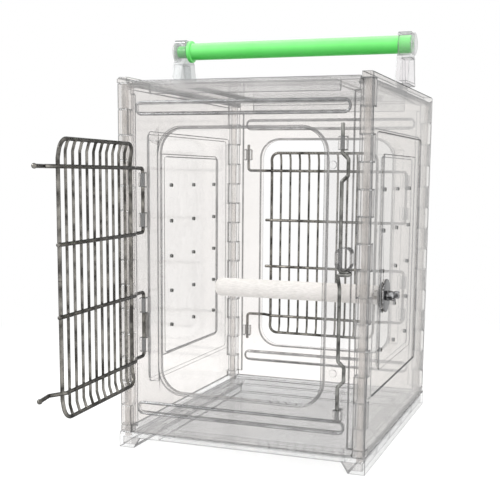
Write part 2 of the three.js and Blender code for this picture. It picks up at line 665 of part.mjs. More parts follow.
// ---- sliding door bolt with a kink beside each door tip and a finger loop ----
function slidingBolt() {
  const on = (x, y, z) => new THREE.Vector3(BOLT_X + x, BOLT_Y + y, z);
  const kinked = ([top, outerTop, outerBottom, bottom]) => [
    on(0, 0, top), on(KINK, 0, outerTop), on(KINK, 0, outerBottom), on(0, 0, bottom)];
  const [upper, lower] = KINKS;
  return wire([
    on(0, 0, BOLT_TOP),
    ...kinked(upper),
    on(0, 0, LOOP.topZ),
    on(LOOP.reach, 0, LOOP.topZ),
    on(LOOP.reach, -LOOP.depth, LOOP.bottomZ),
    on(LOOP.shift, -LOOP.depth, LOOP.bottomZ),
    on(0, 0, LOOP.returnZ),
    ...kinked(lower),
    on(0, 0, BOLT_FOOT),
  ], WIRE, LOOP.depth / 2);
}

// ---- perch and its fastening, on the right side panel ----
function perch() {
  const root = BODY_HALF_X - WALL - GAP * 2 - WASHER_THICK;
  const points = [new THREE.Vector2(0, PERCH_END)];
  for (const angle of [0, 30, 60, 90]) {
    const turn = angle * Math.PI / 180;
    points.push(new THREE.Vector2(
      PERCH_RADIUS - PERCH_NOSE * (1 - Math.sin(turn)),
      PERCH_END + PERCH_NOSE * (1 - Math.cos(turn))));
  }
  points.push(new THREE.Vector2(PERCH_RADIUS, root - 1), new THREE.Vector2(PERCH_RADIUS - 1, root),
    new THREE.Vector2(0, root));
  const body = new THREE.LatheGeometry(points, 28);
  body.rotateZ(-Math.PI / 2).translate(0, PERCH_Y, PERCH_Z);
  return solid(body)
    .subtract(pinX(PERCH_Y, PERCH_Z, STUD_RADIUS + GAP, STUD_INNER - GAP, root + 1, 14));
}

function washer(x0, radius) {
  return pinX(PERCH_Y, PERCH_Z, radius, x0, x0 + WASHER_THICK, 28)
    .subtract(pinX(PERCH_Y, PERCH_Z, STUD_RADIUS + GAP, x0 - 1, x0 + WASHER_THICK + 1, 14));
}

// Two flared wings on a short hub, drawn level and then tilted about the stud.
function wingNut() {
  const x0 = BODY_HALF_X + WASHER_THICK + GAP * 2;
  const root = NUT_RADIUS - 2;
  const tip = x0 + WING_HEIGHT;
  const parts = [pinX(0, 0, NUT_RADIUS, x0, x0 + NUT_LENGTH, 16)];
  for (const side of [-1, 1]) {
    const out = side * WING_SPAN;
    const wing = new THREE.Shape();
    wing.moveTo(x0 + WING_FOOT, side * root);
    wing.quadraticCurveTo(x0 + WING_FOOT * 2, out * 0.8, x0 + NUT_LENGTH, out);
    wing.quadraticCurveTo(tip, out * 1.05, tip, out * 0.75);
    wing.quadraticCurveTo(tip - 1, out / 2, x0 + NUT_LENGTH - 1, side * root);
    parts.push(solid(prism(wing, WING_THICK, 4).translate(0, 0, -WING_THICK / 2)));
  }
  const bore = pinX(0, 0, STUD_RADIUS + GAP, x0 - 1, x0 + NUT_LENGTH + 1, 14);
  return geometryOf(join(parts).subtract(bore))
    .rotateX(WING_TILT * Math.PI / 180).translate(0, PERCH_Y, PERCH_Z);
}

// ---- assembly ----
const carrier = new THREE.Group();
carrier.name = 'bird_travel_carrier';

function place(name, geometry, material) {
  geometry.computeVertexNormals();
  const mesh = new THREE.Mesh(geometry, material);
  mesh.name = name;
  carrier.add(mesh);
}

const turned = (geometry) => geometry.rotateZ(Math.PI);

place('base_tray', geometryOf(base()), clear);
place('front_panel', geometryOf(endPanel(both(hingeBarrels(), boltGuides()))), clear);
place('back_panel', turned(geometryOf(endPanel(both(hingeBarrels(), legClips())))), clear);
place('left_panel', geometryOf(sidePanel(RECESS_BOTTOM.left)), clear);
const perchHole = pinX(-PERCH_Y, PERCH_Z, STUD_RADIUS + GAP, -BODY_HALF_X - 1, -COLUMN_X, 14);
place('right_panel', turned(geometryOf(sidePanel(RECESS_BOTTOM.right).subtract(perchHole))), clear);
place('roof_panel', geometryOf(roof()), clear);

for (const [nameX, signX] of [['left', -1], ['right', 1]]) {
  for (const [nameY, signY] of [['front', -1], ['back', 1]]) {
    const rod = pinZ(signX * ROD_X, signY * ROD_Y, ROD_RADIUS, SKID_HEIGHT,
      SIDE_RAIL_BOTTOM - GAP * 2, 10);
    place(`corner_rod_${nameY}_${nameX}`, geometryOf(rod), clear);
  }
}

place('handle_post_right', geometryOf(post(GRIP_RADIUS + GAP)), clear);
place('handle_post_left', turned(geometryOf(post(GRIP_SPIGOT + GAP))), clear);
place('handle_grip', geometryOf(grip()), green);
place('handle_cap_right', geometryOf(cap()), clear);
place('handle_cap_left', turned(geometryOf(cap())), clear);

const [topWire, , , bottomWire] = CROSS_Z;
const frontDoor = geometryOf(door([[at(TIP_REACH, 0, topWire)], [at(TIP_REACH, 0, bottomWire)]]));
frontDoor.translate(-HINGE_X, -HINGE_Y, 0);
frontDoor.rotateZ(-FRONT_DOOR_OPEN * Math.PI / 180);
frontDoor.translate(HINGE_X, HINGE_Y, 0);
place('front_door', frontDoor, steel);

const upturned = [at(TIP_REACH, 0, LEG_TOP), at(TIP_REACH, 0, topWire)];
const downturned = [at(TIP_REACH, 0, LEG_BOTTOM), at(TIP_REACH, 0, bottomWire)];
place('back_door', turned(geometryOf(door([upturned, downturned]))), steel);
place('front_door_bolt', geometryOf(slidingBolt()), steel);

place('perch', geometryOf(perch()), white);
const stud = pinX(PERCH_Y, PERCH_Z, STUD_RADIUS, STUD_INNER, STUD_OUTER, 14);
place('perch_stud', geometryOf(stud), steel);
place('perch_washer_inner',
  geometryOf(washer(BODY_HALF_X - WALL - GAP - WASHER_THICK, WASHER_INNER)), steel);
place('perch_washer_outer', geometryOf(washer(BODY_HALF_X + GAP, WASHER_OUTER)), steel);
place('perch_wing_nut', wingNut(), steel);

export default carrier;
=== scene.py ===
"""Looks of the bird travel carrier: clear moulded walls, welded wire doors, green grip and perch.

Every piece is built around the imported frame, in metres. Sizes given in millimetres are multiplied by MM.
"""
import json
import math

import bmesh
import bpy
from mathutils import Matrix, Vector
from mathutils.bvhtree import BVHTree


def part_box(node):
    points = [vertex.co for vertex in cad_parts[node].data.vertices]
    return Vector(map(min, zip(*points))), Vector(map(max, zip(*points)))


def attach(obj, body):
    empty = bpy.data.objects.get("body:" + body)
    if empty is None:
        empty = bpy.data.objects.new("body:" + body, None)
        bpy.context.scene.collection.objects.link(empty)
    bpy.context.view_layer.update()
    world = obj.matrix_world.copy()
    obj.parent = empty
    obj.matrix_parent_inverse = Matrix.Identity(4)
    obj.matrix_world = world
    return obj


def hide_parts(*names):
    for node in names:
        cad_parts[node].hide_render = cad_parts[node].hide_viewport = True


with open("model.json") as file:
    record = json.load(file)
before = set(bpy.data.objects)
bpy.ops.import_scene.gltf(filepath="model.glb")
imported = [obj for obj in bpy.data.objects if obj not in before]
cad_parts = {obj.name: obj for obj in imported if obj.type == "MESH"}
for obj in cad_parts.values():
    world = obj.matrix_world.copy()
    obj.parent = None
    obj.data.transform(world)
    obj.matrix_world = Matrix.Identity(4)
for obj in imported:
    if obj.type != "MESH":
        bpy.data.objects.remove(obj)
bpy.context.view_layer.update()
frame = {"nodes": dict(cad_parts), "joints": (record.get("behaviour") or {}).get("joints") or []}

MM = 0.001
RECORD_JOINTS = {joint["name"]: joint for joint in frame["joints"]}

# ---- wire doors, in millimetres ----
# s runs from the hinge axis along the closed door, inset runs into the cabin.
WIRE = 1.9
BAR_WIRE = 1.4
RING_NEAR = 38.8
BAR_PITCH = 13.51
BAR_COUNT = 12
RING_FAR = RING_NEAR + BAR_PITCH * (BAR_COUNT - 1)
RING_TOP = 333.4
RING_BOTTOM = 83.6
BAR_INSET = 3.5
CROSS_INSET = 6.1
DISH = 3.0
CROSS_Z = (309.2, 241.1, 176.8, 106.9)
TIP_REACH = 223.5
CRANK_OUT = 3.4
CROSS_OVERHANG = 8.0
HAIRPIN = 4.0
FRONT_OPEN = 86.7
LEG_TOP = 345.0
LEG_BOTTOM = 71.0
TIP_BALL = 2.5
RING_BEND = 10.4
RING_SHOULDER = 17.0        # the ring's uprights lean inwards from this far below its end
HALF_GAP = 0.6              # each half of the ring ends this far from its middle
BAR_BEND = 8.0
DISH_LENGTH = 10.0
CROSS_LEAD = 3.0            # straight run of a cross wire past the ring
CRANK_START = 19.0
CRANK_END = 11.8
WELD_SIZE = 1.55
WELD_SQUASH = (1.0, 0.8, 1.15)
RING_WELD_SIZE = 1.7
RING_WELD_INSET = 1.2

# ---- door bolt ----
BOLT_X = 112.2
BOLT_Y = -172.4
BOLT_TOP = 355.0
BOLT_FOOT = 65.0
KINK = 6.3
UPPER_KINK = (326.0, 320.0, 304.0, 298.0)
LOWER_KINK = (118.5, 112.5, 98.0, 92.0)
LOOP_REACH = 11.0
LOOP_DEPTH = 5.2
LOOP_TOP = 208.4
LOOP_BOTTOM = 206.6
LOOP_RETURN = 193.0
LOOP_SHIFT = -1.0

# ---- handle ----
POST_FACE = 129 * MM        # centre plane to the inner face of a handle post, less the gap
TUBE_RADIUS = 10 * MM
TUBE_BORE = 5 * MM
SPIGOT_RADIUS = 7.2 * MM
COLLAR_WIDTH = 4.2 * MM
TUBE_EDGE = 1.2 * MM
TUBE_STEP = 2 * MM
CAP_THICK = 4.4 * MM
CAP_DOME = 2.6 * MM
CAP_CHAMFER = 0.5 * MM
PEG_RADIUS = 4.6 * MM

# ---- perch and its fastening ----
STUD_BORE = 3.3 * MM
STUD_CLEARANCE = 0.3 * MM
PERCH_NOSE = 6 * MM
PERCH_RIM = 1.2 * MM
WASHER_EDGE = 0.4 * MM
THREAD_DEPTH = 0.55 * MM
THREAD_PITCH = 1.25 * MM
THREAD_LENGTH = 22 * MM
THREAD_ROWS = 4             # rings of vertices in one turn of the thread
THREAD_SIDES = 24
HUB_LENGTH = 7.5 * MM
HUB_RADIUS = 5.6 * MM
HUB_TAPER = 0.8 * MM
HUB_EDGE = 0.6 * MM
WING_TILT = 17              # degrees
WING_HALF_THICK = 1.3 * MM
WING_SIDES = 12
# Spine of a wing in millimetres: along the stud, out from it, half width.
WING_SPINE = ((1.5, 3.2, 2.2), (3.5, 6.0, 2.6), (6.0, 8.4, 2.9), (8.6, 10.2, 2.7), (10.6, 10.6, 2.0))

# ---- finish of the moulded edges ----
EDGE_ROUND = 0.7 * MM
EDGE_ANGLE = math.radians(46)
EDGE_SHARE = 0.45           # rounding of a narrow face's edge, as a share of its width
SHORT_EDGE = 0.8 * MM       # shorter edges stay sharp
BORE_REACH = 4.6 * MM       # edges this near a corner rod's axis stay sharp
ROD_AXIS = (133.5 * MM, 157.5 * MM)
SMOOTH_ANGLE = math.radians(34)
NARROW_STEP = 1.8 * MM      # faces narrower than this look like edges
NARROW_ON_POST = 1.2 * MM
NARROW_IN_COLUMN = 3.0 * MM
NARROW_AT_RAIL = 3.2 * MM
RAIL_FOOT = 397 * MM
COLUMN_ZONE = Vector((126.6, 150.6, 25.0)) * MM
VENT_ZONE = Vector((130.0, 101.0, 296.0)) * MM
VENT_FOOT = 112 * MM
DECK_TOP = 18 * MM
VENT_AREA = 14 * MM * MM

CLEAR_WALLS = ("base_tray", "front_panel", "back_panel", "left_panel", "right_panel", "roof_panel")
CLEAR_SMALL = ("handle_post_left", "handle_post_right")
CORNERS = ("front_left", "front_right", "back_left", "back_right")


# ======================= materials =======================
class Shader:
    """A node tree being built: add() makes a node and sets its inputs, which may be links."""

    def __init__(self, name):
        self.material = bpy.data.materials.new(name)
        self.material.use_nodes = True
        self.tree = self.material.node_tree
        self.tree.nodes.clear()

    def add(self, kind, inputs=None, **settings):
        node = self.tree.nodes.new("ShaderNode" + kind)
        for key, value in settings.items():
            setattr(node, key, value)
        for key, value in (inputs or {}).items():
            if isinstance(value, bpy.types.NodeSocket):
                self.tree.links.new(value, node.inputs[key])
            else:
                node.inputs[key].default_value = value
        return node

    def noise(self, scale, detail=3.0, stretch=(1, 1, 1)):
        """Noise value in object space, scale in features per metre."""
        place = self.add("TexCoord").outputs["Object"]
        mapped = self.add("Mapping", {"Vector": place, "Scale": stretch})
        noise = self.add("TexNoise", {"Vector": mapped.outputs[0], "Scale": scale, "Detail": detail})
        return noise.outputs["Fac"]

    def ramp(self, value, low, high, start=0.0, end=1.0):
        """Maps value from start..end to low..high."""
        return self.add("MapRange", {0: value, 1: start, 2: end, 3: low, 4: high}).outputs[0]

    def blend(self, factor, first, second):
        """Colour between first and second."""
        mix = self.add("Mix", {0: factor, 6: first, 7: second}, data_type="RGBA")
        return mix.outputs[2]

    def size_of(self, value):
        """Absolute value."""
        return self.add("Math", {0: value}, operation="ABSOLUTE").outputs[0]

    def colour_stops(self, value, stops):
        """Grey tone read off a list of (position, tone) stops."""
        node = self.add("ValToRGB", {0: value})
        while len(node.color_ramp.elements) < len(stops):
            node.color_ramp.elements.new(0.5)
        for element, (position, tone) in zip(node.color_ramp.elements, stops):
            element.position = position
            element.color = (tone, tone, tone, 1)
        return node.outputs[0]

    def bump(self, height, strength, distance):
        node = self.add("Bump", {"Height": height, "Strength": strength, "Distance": distance})
        return node.outputs["Normal"]

    def mix(self, factor, first, second):
        node = self.add("MixShader", {0: factor, 1: first, 2: second})
        return node.outputs[0]

    def light_passes(self, shader):
        """Lets lamp light through almost whole, so clear walls don't darken what they hold."""
        ray = self.add("LightPath").outputs["Is Shadow Ray"]
        open_air = self.add("BsdfTransparent", {"Color": (0.985, 0.985, 0.985, 1)}).outputs[0]
        return self.mix(ray, shader, open_air)

    def output(self, shader):
        self.add("OutputMaterial", {"Surface": shader})
        return self.material


def opaque_grey(tint, factor=1.0):
    """RGBA of a tint scaled by factor, capped at white."""
    return tuple(min(1.0, c * factor) for c in tint) + (1,)


def clear_wall(name, tint, haze=0.05, depth=0.93):
    """Clear moulded plastic: see-through, brighter at a glance, faintly wavy and hazy."""
    s = Shader(name)
    wave = s.bump(s.noise(34, 2.0), 0.10, 0.004)
    facing = s.add("LayerWeight", {"Blend": 0.5, "Normal": wave}).outputs["Facing"]
    glance = s.add("Math", {0: facing, 1: 4.0}, operation="POWER").outputs[0]
    reflect = s.ramp(glance, 0.035, 0.62)
    patches = s.ramp(s.noise(9, 3.0), 0.0, 1.0, 0.35, 0.65)
    body = s.blend(patches, opaque_grey(tint), opaque_grey(tint, 1.03))
    deep = s.blend(s.ramp(facing, 0.0, 1.0, 0.45, 1.0), body, opaque_grey(tint, depth))
    through = s.add("BsdfTransparent", {"Color": deep}).outputs[0]
    scuff = s.ramp(s.noise(210, 5.0), 0.06, 0.16, 0.4, 0.7)
    gloss = s.add("BsdfGlossy", {"Color": (1, 1, 1, 1), "Roughness": scuff, "Normal": wave}).outputs[0]
    dust = s.add("BsdfDiffuse", {"Color": opaque_grey(tint, 0.94)}).outputs[0]
    hazed = s.mix(s.ramp(s.noise(26, 4.0), haze * 0.4, haze * 1.6, 0.3, 0.7), through, dust)
    return s.output(s.light_passes(s.mix(reflect, hazed, gloss)))


COLUMN_REACH_X = (127 * MM, 140 * MM)
COLUMN_REACH_Y = (151 * MM, 164 * MM)
# Position across a column from its inner to its outer edge, and the tone there: painted refraction light
# and shade, with painted shade along the outer edge.
COLUMN_REFRACTION_STRIPES = (
    (0.0, 0.62), (0.07, 1.0), (0.16, 0.84), (0.34, 0.96), (0.50, 0.88), (0.60, 1.0), (0.68, 0.84),
    (0.86, 0.94), (0.91, 0.50), (1.0, 0.30))


def clear_column(name, tint):
    """Thick clear corner column: upright stripes of painted refraction light and shade, darkest along its
    outer edge, drawn lighter towards the back.
    """
    s = Shader(name)
    place = s.add("SeparateXYZ", {0: s.add("TexCoord").outputs["Object"]})
    normal = s.add("SeparateXYZ", {0: s.add("NewGeometry").outputs["Normal"]})
    faces_side = s.add("Math", {0: s.size_of(normal.outputs["X"]), 1: 0.6},
                       operation="GREATER_THAN").outputs[0]
    across = s.ramp(s.size_of(place.outputs["X"]), 0.0, 1.0, *COLUMN_REACH_X)
    along = s.ramp(s.size_of(place.outputs["Y"]), 0.0, 1.0, *COLUMN_REACH_Y)
    way = s.add("Mix", {0: faces_side, 2: across, 3: along}, data_type="FLOAT").outputs[0]
    # Painted refraction highlights and shade across the column, painted shade along its outer edge.
    refraction_stripes = s.colour_stops(way, COLUMN_REFRACTION_STRIPES)
    tone = s.add("Mix", {0: 1.0, 6: refraction_stripes, 7: opaque_grey(tint)},
                 data_type="RGBA", blend_type="MULTIPLY").outputs[2]
    tone = s.blend(s.ramp(place.outputs["Y"], 0.0, 0.55, -0.1, 0.1), tone, (1, 1, 1, 1))
    through = s.add("BsdfTransparent", {"Color": tone}).outputs[0]
    facing = s.add("LayerWeight", {"Blend": 0.5}).outputs["Facing"]
    glance = s.add("Math", {0: facing, 1: 4.0}, operation="POWER").outputs[0]
    wave = s.bump(s.noise(60, 2.0), 0.15, 0.004)
    gloss = s.add("BsdfGlossy", {"Color": (1, 1, 1, 1), "Roughness": 0.12, "Normal": wave}).outputs[0]
    dust = s.add("BsdfDiffuse", {"Color": opaque_grey(tint)}).outputs[0]
    hazed = s.mix(s.ramp(s.noise(40, 4.0), 0.06, 0.26, 0.3, 0.7), through, dust)
    return s.output(s.light_passes(s.mix(s.ramp(glance, 0.05, 0.6), hazed, gloss)))


def clear_edge(name, shade, strength):
    """Rounded edge of the clear plastic, which looks grey or bright: its tone is painted, shade from a
    dark grey and a highlight from a light one, standing in for refraction, and painted shade darkens its
    outline.
    """
    s = Shader(name)
    streak = s.noise(60, 2.0)
    tone = s.blend(s.ramp(streak, 0.0, 1.0, 0.35, 0.65), opaque_grey(shade, 0.6), opaque_grey(shade))
    facing = s.add("LayerWeight", {"Blend": 0.5}).outputs["Facing"]
    # Painted shade: darker where the edge turns away, at the outline.
    tone = s.blend(s.ramp(facing, 0.0, 0.85, 0.35, 0.85), tone, opaque_grey(shade, 0.12))
    through = s.add("BsdfTransparent", {"Color": tone}).outputs[0]
    gloss = s.add("BsdfGlossy", {"Color": (0.95, 0.96, 0.97, 1), "Roughness": 0.12}).outputs[0]
    return s.output(s.light_passes(s.mix(strength, through, gloss)))


def steel(name, colour, rough, patch_scale=75):
    """Drawn bright wire or plated steel, with drawing lines: painted shade darkens its outline, and its
    patches are partly stain and partly painted glints.
    """
    s = Shader(name)
    lines = s.noise(900, 2.0, (1, 1, 0.06))
    # Dark and bright patches: partly stain, partly painted glints along the wire.
    stain_and_glint = s.ramp(s.noise(patch_scale, 4.0), 0.0, 1.0, 0.40, 0.62)
    tone = s.blend(stain_and_glint, opaque_grey(colour), opaque_grey(colour, 0.22))
    # Painted shade at the outline.
    facing = s.add("LayerWeight", {"Blend": 0.5}).outputs["Facing"]
    tone = s.blend(s.ramp(facing, 0.0, 0.95, 0.2, 0.65), tone, opaque_grey(colour, 0.05))
    roughness = s.ramp(lines, rough * 0.6, rough * 1.6, 0.3, 0.7)
    surface = s.add("BsdfPrincipled", {
        "Base Color": tone, "Metallic": 1.0, "Roughness": roughness,
        "Normal": s.bump(lines, 0.12, 0.0004)})
    return s.output(surface.outputs[0])


def green_plastic():
    """Glossy saturated green tube with an orange-peel surface and mottled tone, a painted highlight along
    its top, and painted shade underneath and along its outline.
    """
    s = Shader("grip_green")
    mottle = s.ramp(s.noise(24, 4.0), 0.0, 1.0, 0.3, 0.7)
    tone = s.blend(mottle, (0.18, 0.86, 0.19, 1), (0.24, 0.93, 0.25, 1))
    normal = s.add("NewGeometry").outputs["Normal"]
    height = s.add("SeparateXYZ", {0: normal}).outputs["Z"]
    # Painted shade on faces turned down, painted highlight on faces turned up.
    tone = s.blend(s.ramp(height, 1.0, 0.0, -0.95, 0.35), tone, (0.020, 0.47, 0.035, 1))
    tone = s.blend(s.ramp(height, 0.0, 0.55, 0.45, 0.9), tone, (0.38, 1.0, 0.36, 1))
    # Painted shade along the outline.
    facing = s.add("LayerWeight", {"Blend": 0.5}).outputs["Facing"]
    tone = s.blend(s.ramp(facing, 0.0, 1.0, 0.55, 1.0), tone, (0.05, 0.58, 0.07, 1))
    peel = s.bump(s.noise(700, 3.0), 0.10, 0.0005)
    surface = s.add("BsdfPrincipled", {
        "Base Color": tone, "Roughness": 0.34, "Normal": peel,
        "Subsurface Weight": 0.15, "Subsurface Radius": (0.002, 0.008, 0.002),
        "Coat Weight": 0.35, "Coat Roughness": 0.15})
    return s.output(surface.outputs[0])


def perch_plastic():
    """Off-white sanded surface with a fine lengthwise grain."""
    s = Shader("perch_white")
    grain = s.noise(900, 6.0, (0.25, 1, 1))
    pits = s.noise(330, 4.0)
    tone = s.blend(s.ramp(grain, 0.0, 1.0, 0.35, 0.7), (0.84, 0.81, 0.785, 1), (0.70, 0.675, 0.65, 1))
    height = s.add("Math", {0: grain, 1: pits}, operation="ADD").outputs[0]
    surface = s.add("BsdfPrincipled", {
        "Base Color": tone, "Roughness": s.ramp(pits, 0.55, 0.8, 0.3, 0.7),
        "Normal": s.bump(height, 0.5, 0.0006)})
    return s.output(surface.outputs[0])


def pale_floor():
    """White sweep: a soft shadow near the object and plain white further out."""
    s = Shader("studio_floor")
    place = s.add("TexCoord").outputs["Object"]
    distance = s.add("VectorMath", {0: place}, operation="LENGTH").outputs["Value"]
    cloud = s.blend(s.noise(2, 2.0), (0.93, 0.93, 0.93, 1), (0.95, 0.95, 0.95, 1))
    matt = s.add("BsdfDiffuse", {"Color": cloud}).outputs[0]
    white = s.add("Emission", {"Color": (1, 1, 1, 1), "Strength": 1.0}).outputs[0]
    return s.output(s.mix(s.ramp(distance, 0.35, 1.0, 0.3, 0.9), matt, white))


# ======================= mesh building =======================
def finish_mesh(mesh, name, materials, body, stands_for):
    """Turns a bmesh into a smooth-shaded piece that rides on a body and stands for CAD nodes."""
    data = bpy.data.meshes.new(name)
    bmesh.ops.recalc_face_normals(mesh, faces=mesh.faces)
    mesh.to_mesh(data)
    mesh.free()
    piece = bpy.data.objects.new(name, data)
    bpy.context.scene.collection.objects.link(piece)
    for item in materials:
        data.materials.append(item)
    data.polygons.foreach_set("use_smooth", [True] * len(data.polygons))
    data.set_sharp_from_angle(angle=SMOOTH_ANGLE)
    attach(piece, body)
    for node in stands_for:
        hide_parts(node)
    return piece


def face_width(face):
    """Width of a long face: twice its area over its outline."""
    return 2 * face.calc_area() / face.calc_perimeter()


def beside_rod(point):
    """True on the wall of a bore that holds a corner rod."""
    return math.hypot(abs(point.x) - ROD_AXIS[0], abs(point.y) - ROD_AXIS[1]) < BORE_REACH


def weigh_edges(mesh):
    """Sets how strongly each hard edge is rounded: less on narrow faces, none in bores and vents."""
    weight = mesh.edges.layers.float.new("bevel_weight_edge")
    widths = {face: face_width(face) for face in mesh.faces}
    for edge in mesh.edges:
        if len(edge.link_faces) != 2 or edge.calc_face_angle() < EDGE_ANGLE:
            continue
        ends = [vertex.co for vertex in edge.verts]
        if edge.calc_length() < SHORT_EDGE or all(map(beside_rod, ends)) or all(map(in_vents, ends)):
            edge.smooth = False
            continue
        room = min(widths[face] for face in edge.link_faces)
        edge[weight] = min(1.0, EDGE_SHARE * room / EDGE_ROUND)


def pull_back(data, surface):
    """Moves vertices that the rounding threw off the solid back onto its surface."""
    for vertex in data.vertices:
        nearest, _, _, distance = surface.find_nearest(vertex.co)
        if distance > EDGE_ROUND:
            vertex.co = nearest


def moulded(node, materials, walls):
    """The node's own solid with its hard edges rounded.

    materials holds the finish of the faces, the edges (painted shade), the corner columns (painted
    refraction stripes), the column joints (painted highlight), the vents (painted shade) and the sides of
    the base. A handle post (walls False) has the first two only.
    """
    mesh = bmesh.new()
    mesh.from_mesh(frame["nodes"][node].data)
    surface = BVHTree.FromBMesh(mesh)
    bmesh.ops.remove_doubles(mesh, verts=mesh.verts, dist=0.02 * MM)
    bmesh.ops.dissolve_limit(mesh, angle_limit=math.radians(1.5), verts=mesh.verts, edges=mesh.edges)
    weigh_edges(mesh)
    data = bpy.data.meshes.new(node + "_plain")
    mesh.to_mesh(data)
    mesh.free()
    plain = bpy.data.objects.new(node + "_plain", data)
    bpy.context.scene.collection.objects.link(plain)
    for item in materials:
        data.materials.append(item)
    data.polygons.foreach_set("use_smooth", [True] * len(data.polygons))
    rounding = plain.modifiers.new("rounded_edges", "BEVEL")
    rounding.width = EDGE_ROUND
    rounding.segments = 2
    rounding.limit_method = "WEIGHT"
    rounding.use_clamp_overlap = False
    rounding.material = 1
    flatten = plain.modifiers.new("flat_faces", "WEIGHTED_NORMAL")
    flatten.mode = "FACE_AREA"
    flatten.weight = 100
    flatten.keep_sharp = True
    depsgraph = bpy.context.evaluated_depsgraph_get()
    rounded = bpy.data.meshes.new_from_object(plain.evaluated_get(depsgraph))
    bpy.data.objects.remove(plain)
    rounded.name = node + "_moulding"
    pull_back(rounded, surface)
    piece = bpy.data.objects.new(node + "_moulding", rounded)
    bpy.context.scene.collection.objects.link(piece)
    for face in rounded.polygons:
        outline = sum((rounded.vertices[a].co - rounded.vertices[b].co).length
                      for a, b in face.edge_keys)
        narrow = 2 * face.area / outline < (narrow_limit(face.center) if walls else NARROW_ON_POST)
        if face.material_index == 0 and beside_rod(face.center):
            face.material_index = 2
        elif face.material_index == 0 and narrow:
            face.material_index = 1
        elif face.material_index == 0 and in_column(face.center):
            face.material_index = 2
        if face.material_index == 1 and is_joint(face):
            face.material_index = 3
        upright = abs(face.normal.z) < 0.5
        if walls and face.material_index == 0 and upright and face.center.z < DECK_TOP:
            face.material_index = 5
        if in_vents(face.center) and face.area < VENT_AREA:
            face.material_index = 4
    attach(piece, "carrier_body")
    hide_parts(node)


def in_vents(point):
    """True in the part of a side panel that holds the round vent holes."""
    return (abs(point.x) > VENT_ZONE.x and -VENT_ZONE.y < point.y < VENT_ZONE.y
            and VENT_FOOT < point.z < VENT_ZONE.z)


def in_column(point):
    """True inside one of the four knuckled corner columns."""
    return abs(point.x) > COLUMN_ZONE.x and abs(point.y) > COLUMN_ZONE.y


def is_joint(face):
    """True on the level edges where two knuckles meet."""
    return in_column(face.center) and face.center.z > COLUMN_ZONE.z and abs(face.normal.z) > 0.5


def narrow_limit(point):
    """Widest face that still looks like an edge, at this place on the mouldings."""
    if point.z > RAIL_FOOT:
        return NARROW_AT_RAIL
    return NARROW_IN_COLUMN if in_column(point) else NARROW_STEP


def turned_solid(mesh, profile, frame_matrix, sides=48):
    """Revolves (radius, height) points about Z, then places the result with frame_matrix."""
    rings = []
    for radius, height in profile:
        if radius < 1e-9:
            rings.append([mesh.verts.new(frame_matrix @ Vector((0, 0, height)))])
            continue
        rings.append([mesh.verts.new(frame_matrix @ Vector((
            radius * math.cos(2 * math.pi * i / sides),
            radius * math.sin(2 * math.pi * i / sides), height))) for i in range(sides)])
    pairs = list(zip(rings, rings[1:]))
    if len(rings[0]) > 1:
        pairs.append((rings[-1], rings[0]))
    for low, high in pairs:
        for i in range(sides):
            j = (i + 1) % sides
            if len(low) == 1:
                mesh.faces.new((low[0], high[i], high[j]))
            elif len(high) == 1:
                mesh.faces.new((low[i], low[j], high[0]))
            else:
                mesh.faces.new((low[i], low[j], high[j], high[i]))


def rounded_corner(radius, height, turn, size, start, steps=4):
    """Quarter-circle profile points round a corner centre, from start degrees through turn degrees."""
    return [(radius + size * math.cos(math.radians(start + turn * k / steps)),
             height + size * math.sin(math.radians(start + turn * k / steps)))
            for k in range(steps + 1)]


def along_x(x, y, z):
    """Frame whose own Z runs along world X from (x, y, z)."""
    return Matrix.Translation((x, y, z)) @ Matrix.Rotation(math.pi / 2, 4, "Y")


def bent_line(corners, radius, steps=7):
    """Corner points joined by straight runs and true arcs."""
    points = [corners[0]]
    for before, here, after in zip(corners, corners[1:], corners[2:]):
        back = (before - here).normalized()
        ahead = (after - here).normalized()
        turn = math.pi - back.angle(ahead)
        centre = here + (back + ahead).normalized() * (radius / math.cos(turn / 2))
        start = here + back * (radius * math.tan(turn / 2)) - centre
        end = here + ahead * (radius * math.tan(turn / 2)) - centre
        count = max(2, round(steps * turn / (math.pi / 2)))
        for k in range(count + 1):
            rest = math.sin(turn * (1 - k / count)) / math.sin(turn)
            part = math.sin(turn * k / count) / math.sin(turn)
            points.append(centre + start * rest + end * part)
    points.append(corners[-1])
    return points


WIRE_DOME = ((0.22, 0.96), (0.42, 0.82), (0.55, 0.55))   # outward reach and size, in wire radii


def round_wire(mesh, line, radius, sides=14, tips=True):
    """Round wire swept along points, its ends domed."""
    tangents = []
    for index, point in enumerate(line):
        arriving = (point - line[index - 1]).normalized() if index else Vector()
        leaving = (line[index + 1] - point).normalized() if index < len(line) - 1 else Vector()
        tangents.append((arriving + leaving).normalized())
    across = tangents[0].orthogonal().normalized()
    rings = []

    def ring(centre, tangent, size):
        side = tangent.cross(across).normalized()
        rings.append([mesh.verts.new(
            centre + size * (across * math.cos(2 * math.pi * i / sides)
                             + side * math.sin(2 * math.pi * i / sides))) for i in range(sides)])

    dome = WIRE_DOME if tips else ()
    reach = dome[-1][0] * radius if tips else 0
    line = [line[0] + tangents[0] * reach, *line[1:-1], line[-1] - tangents[-1] * reach]
    for out, size in reversed(dome):
        ring(line[0] - tangents[0] * radius * out, tangents[0], radius * size)
    for point, tangent in zip(line, tangents):
        across = (across - tangent * across.dot(tangent)).normalized()
        ring(point, tangent, radius)
    for out, size in dome:
        ring(line[-1] + tangents[-1] * radius * out, tangents[-1], radius * size)
    for low, high in zip(rings, rings[1:]):
        for i in range(sides):
            j = (i + 1) % sides
            mesh.faces.new((low[i], low[j], high[j], high[i]))
    mesh.faces.new(rings[0][::-1])
    mesh.faces.new(rings[-1])


def blob(mesh, centre, size, place, squash=(1, 1, 1)):
    """Small rounded lump of weld metal or a formed wire end."""
    matrix = place @ Matrix.Translation(centre) @ Matrix.Diagonal((*squash, 1))
    bmesh.ops.create_icosphere(mesh, subdivisions=2, radius=size, matrix=matrix)


